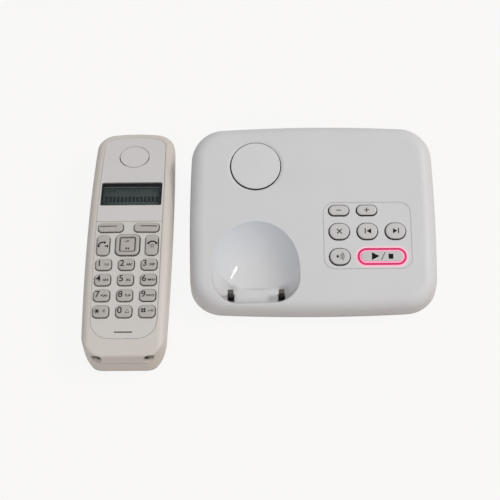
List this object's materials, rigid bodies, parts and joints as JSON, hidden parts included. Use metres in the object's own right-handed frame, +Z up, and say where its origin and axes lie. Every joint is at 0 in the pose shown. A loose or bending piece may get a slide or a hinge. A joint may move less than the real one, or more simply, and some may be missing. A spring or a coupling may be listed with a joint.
{
  "type": "cordless phone with base",
  "caption": "Cordless phone handset with keypad and display lying beside a sloped charging base with a bowl cradle, a large round paging key and answering machine keys.",
  "frame": {"origin": "middle of the set's footprint on the table", "axes": "+X to the right from handset to base, +Y to the back of the base, +Z up"},
  "size_m": [0.1888, 0.1488, 0.0409],
  "materials": {
    "base_housing": "fine satin ABS, cool white",
    "base_keys": "satin ABS key caps",
    "foot_rubber": "soft black rubber",
    "light_guide": "frosted light guide, lit pink",
    "key_silicone": "translucent silicone",
    "circuit_board": "green solder mask",
    "contact_steel": "nickel-plated steel",
    "black_plastic": "black plastic",
    "battery_sleeve": "plain shrink sleeve",
    "handset_housing": "satin ABS, warm white",
    "keypad_plastic": "finely spark-textured ABS",
    "panel_plastic": "smooth ABS, cool white",
    "window_lens": "clear acrylic lens",
    "display_face": "grey-green liquid crystal display",
    "handset_keys": "satin ABS key caps"
  },
  "bodies": {
    "base": {"base_bottom_shell": "base_housing", "base_circuit_board": "circuit_board", "base_foot_1": "foot_rubber", "base_foot_2": "foot_rubber", "base_foot_3": "foot_rubber", "base_foot_4": "foot_rubber", "base_key_mat": "key_silicone", "base_loudspeaker": "black_plastic", "base_screws": "contact_steel", "base_top_shell": "base_housing", "paging_switch": "black_plastic", "phone_line_socket": "black_plastic", "play_light_ring": "light_guide", "power_socket": "black_plastic"},
    "handset": {"battery_cell_left": "battery_sleeve", "battery_cell_right": "battery_sleeve", "battery_contacts": "contact_steel", "display_module": "display_face", "display_panel": "panel_plastic", "display_window": "window_lens", "earpiece_speaker": "black_plastic", "handset_back_shell": "handset_housing", "handset_circuit_board": "circuit_board", "handset_contact_left": "contact_steel", "handset_contact_right": "contact_steel", "handset_front_shell": "handset_housing", "handset_key_mat": "key_silicone", "handset_ringer": "black_plastic", "handset_screws": "contact_steel", "keypad_panel": "keypad_plastic", "microphone": "black_plastic"},
    "battery_cover": {"battery_cover": "handset_housing"},
    "charge_contact_left": {"charge_contact_left": "contact_steel"},
    "charge_contact_right": {"charge_contact_right": "contact_steel"},
    "end_key": {"end_key": "handset_keys"},
    "key_0": {"key_0": "handset_keys"},
    "key_1": {"key_1": "handset_keys"},
    "key_2": {"key_2": "handset_keys"},
    "key_3": {"key_3": "handset_keys"},
    "key_4": {"key_4": "handset_keys"},
    "key_5": {"key_5": "handset_keys"},
    "key_6": {"key_6": "handset_keys"},
    "key_7": {"key_7": "handset_keys"},
    "key_8": {"key_8": "handset_keys"},
    "key_9": {"key_9": "handset_keys"},
    "key_delete": {"key_delete": "base_keys"},
    "key_hash": {"key_hash": "handset_keys"},
    "key_next": {"key_next": "base_keys"},
    "key_play_stop": {"key_play_stop": "base_keys"},
    "key_previous": {"key_previous": "base_keys"},
    "key_speaker": {"key_speaker": "base_keys"},
    "key_star": {"key_star": "handset_keys"},
    "key_volume_down": {"key_volume_down": "base_keys"},
    "key_volume_up": {"key_volume_up": "base_keys"},
    "nav_key": {"nav_key": "handset_keys"},
    "paging_key": {"paging_key": "base_keys"},
    "softkey_left": {"softkey_left": "handset_keys"},
    "softkey_right": {"softkey_right": "handset_keys"},
    "talk_key": {"talk_key": "handset_keys"}
  },
  "joints": [
    {"name": "handset_lift", "type": "slide", "parent": "base", "child": "handset", "axis": [0, 0, 1], "range_m": [0, 0.15]},
    {"name": "press_key_1", "type": "slide", "parent": "handset", "child": "key_1", "axis": [0, 0.0673, -0.9977], "range_m": [0, 0.0006], "stiffness_N_per_m": 1500, "deforming": ["handset_key_mat"]},
    {"name": "press_key_2", "type": "slide", "parent": "handset", "child": "key_2", "axis": [0, 0.0673, -0.9977], "range_m": [0, 0.0006], "stiffness_N_per_m": 1500, "deforming": ["handset_key_mat"]},
    {"name": "press_key_3", "type": "slide", "parent": "handset", "child": "key_3", "axis": [0, 0.0673, -0.9977], "range_m": [0, 0.0006], "stiffness_N_per_m": 1500, "deforming": ["handset_key_mat"]},
    {"name": "press_key_4", "type": "slide", "parent": "handset", "child": "key_4", "axis": [0, 0.0901, -0.9959], "range_m": [0, 0.0006], "stiffness_N_per_m": 1500, "deforming": ["handset_key_mat"]},
    {"name": "press_key_5", "type": "slide", "parent": "handset", "child": "key_5", "axis": [0, 0.0901, -0.9959], "range_m": [0, 0.0006], "stiffness_N_per_m": 1500, "deforming": ["handset_key_mat"]},
    {"name": "press_key_6", "type": "slide", "parent": "handset", "child": "key_6", "axis": [0, 0.0901, -0.9959], "range_m": [0, 0.0006], "stiffness_N_per_m": 1500, "deforming": ["handset_key_mat"]},
    {"name": "press_key_7", "type": "slide", "parent": "handset", "child": "key_7", "axis": [0, 0.1129, -0.9936], "range_m": [0, 0.0006], "stiffness_N_per_m": 1500, "deforming": ["handset_key_mat"]},
    {"name": "press_key_8", "type": "slide", "parent": "handset", "child": "key_8", "axis": [0, 0.1129, -0.9936], "range_m": [0, 0.0006], "stiffness_N_per_m": 1500, "deforming": ["handset_key_mat"]},
    {"name": "press_key_9", "type": "slide", "parent": "handset", "child": "key_9", "axis": [0, 0.1129, -0.9936], "range_m": [0, 0.0006], "stiffness_N_per_m": 1500, "deforming": ["handset_key_mat"]},
    {"name": "press_key_star", "type": "slide", "parent": "handset", "child": "key_star", "axis": [0, 0.1357, -0.9907], "range_m": [0, 0.0006], "stiffness_N_per_m": 1500, "deforming": ["handset_key_mat"]},
    {"name": "press_key_0", "type": "slide", "parent": "handset", "child": "key_0", "axis": [0, 0.1357, -0.9907], "range_m": [0, 0.0006], "stiffness_N_per_m": 1500, "deforming": ["handset_key_mat"]},
    {"name": "press_key_hash", "type": "slide", "parent": "handset", "child": "key_hash", "axis": [0, 0.1357, -0.9907], "range_m": [0, 0.0006], "stiffness_N_per_m": 1500, "deforming": ["handset_key_mat"]},
    {"name": "press_softkey_left", "type": "slide", "parent": "handset", "child": "softkey_left", "axis": [0, 0.0089, -1], "range_m": [0, 0.0006], "stiffness_N_per_m": 1500, "deforming": ["handset_key_mat"]},
    {"name": "press_softkey_right", "type": "slide", "parent": "handset", "child": "softkey_right", "axis": [0, 0.0089, -1], "range_m": [0, 0.0006], "stiffness_N_per_m": 1500, "deforming": ["handset_key_mat"]},
    {"name": "press_talk_key", "type": "slide", "parent": "handset", "child": "talk_key", "axis": [0, 0.0372, -0.9993], "range_m": [0, 0.0006], "stiffness_N_per_m": 1500, "deforming": ["handset_key_mat"]},
    {"name": "press_end_key", "type": "slide", "parent": "handset", "child": "end_key", "axis": [0, 0.0372, -0.9993], "range_m": [0, 0.0006], "stiffness_N_per_m": 1500, "deforming": ["handset_key_mat"]},
    {"name": "rock_nav_key", "type": "hinge", "parent": "handset", "child": "nav_key", "pos_m": [-0.07165, -0.00855, 0.0204], "axis": [1, 0, 0], "range_deg": [-2.5, 2.5], "stiffness_Nm_per_rad": 0.15, "deforming": ["handset_key_mat"]},
    {"name": "battery_cover_slide", "type": "slide", "parent": "handset", "child": "battery_cover", "axis": [0, -1, 0], "range_m": [0, 0.08]},
    {"name": "press_key_volume_down", "type": "slide", "parent": "base", "child": "key_volume_down", "axis": [0, 0.2699, -0.9629], "range_m": [0, 0.0007], "stiffness_N_per_m": 1500, "deforming": ["base_key_mat"]},
    {"name": "press_key_volume_up", "type": "slide", "parent": "base", "child": "key_volume_up", "axis": [0, 0.2699, -0.9629], "range_m": [0, 0.0007], "stiffness_N_per_m": 1500, "deforming": ["base_key_mat"]},
    {"name": "press_key_delete", "type": "slide", "parent": "base", "child": "key_delete", "axis": [0, 0.2699, -0.9629], "range_m": [0, 0.0007], "stiffness_N_per_m": 1500, "deforming": ["base_key_mat"]},
    {"name": "press_key_previous", "type": "slide", "parent": "base", "child": "key_previous", "axis": [0, 0.2699, -0.9629], "range_m": [0, 0.0007], "stiffness_N_per_m": 1500, "deforming": ["base_key_mat"]},
    {"name": "press_key_next", "type": "slide", "parent": "base", "child": "key_next", "axis": [0, 0.2699, -0.9629], "range_m": [0, 0.0007], "stiffness_N_per_m": 1500, "deforming": ["base_key_mat"]},
    {"name": "press_key_speaker", "type": "slide", "parent": "base", "child": "key_speaker", "axis": [0, 0.2699, -0.9629], "range_m": [0, 0.0007], "stiffness_N_per_m": 1500, "deforming": ["base_key_mat"]},
    {"name": "press_key_play_stop", "type": "slide", "parent": "base", "child": "key_play_stop", "axis": [0, 0.2699, -0.9629], "range_m": [0, 0.0007], "stiffness_N_per_m": 1500, "deforming": ["base_key_mat"]},
    {"name": "press_paging_key", "type": "slide", "parent": "base", "child": "paging_key", "axis": [0, 0.2699, -0.9629], "range_m": [0, 0.0007], "stiffness_N_per_m": 1500, "deforming": ["paging_switch"]},
    {"name": "flex_charge_contact_left", "type": "hinge", "parent": "base", "child": "charge_contact_left", "pos_m": [-0.01655, -0.0316, 0.004], "axis": [1, 0, 0], "range_deg": [0, 5], "stiffness_Nm_per_rad": 0.08},
    {"name": "flex_charge_contact_right", "type": "hinge", "parent": "base", "child": "charge_contact_right", "pos_m": [0.01055, -0.0316, 0.004], "axis": [1, 0, 0], "range_deg": [0, 5], "stiffness_Nm_per_rad": 0.08}
  ]
}
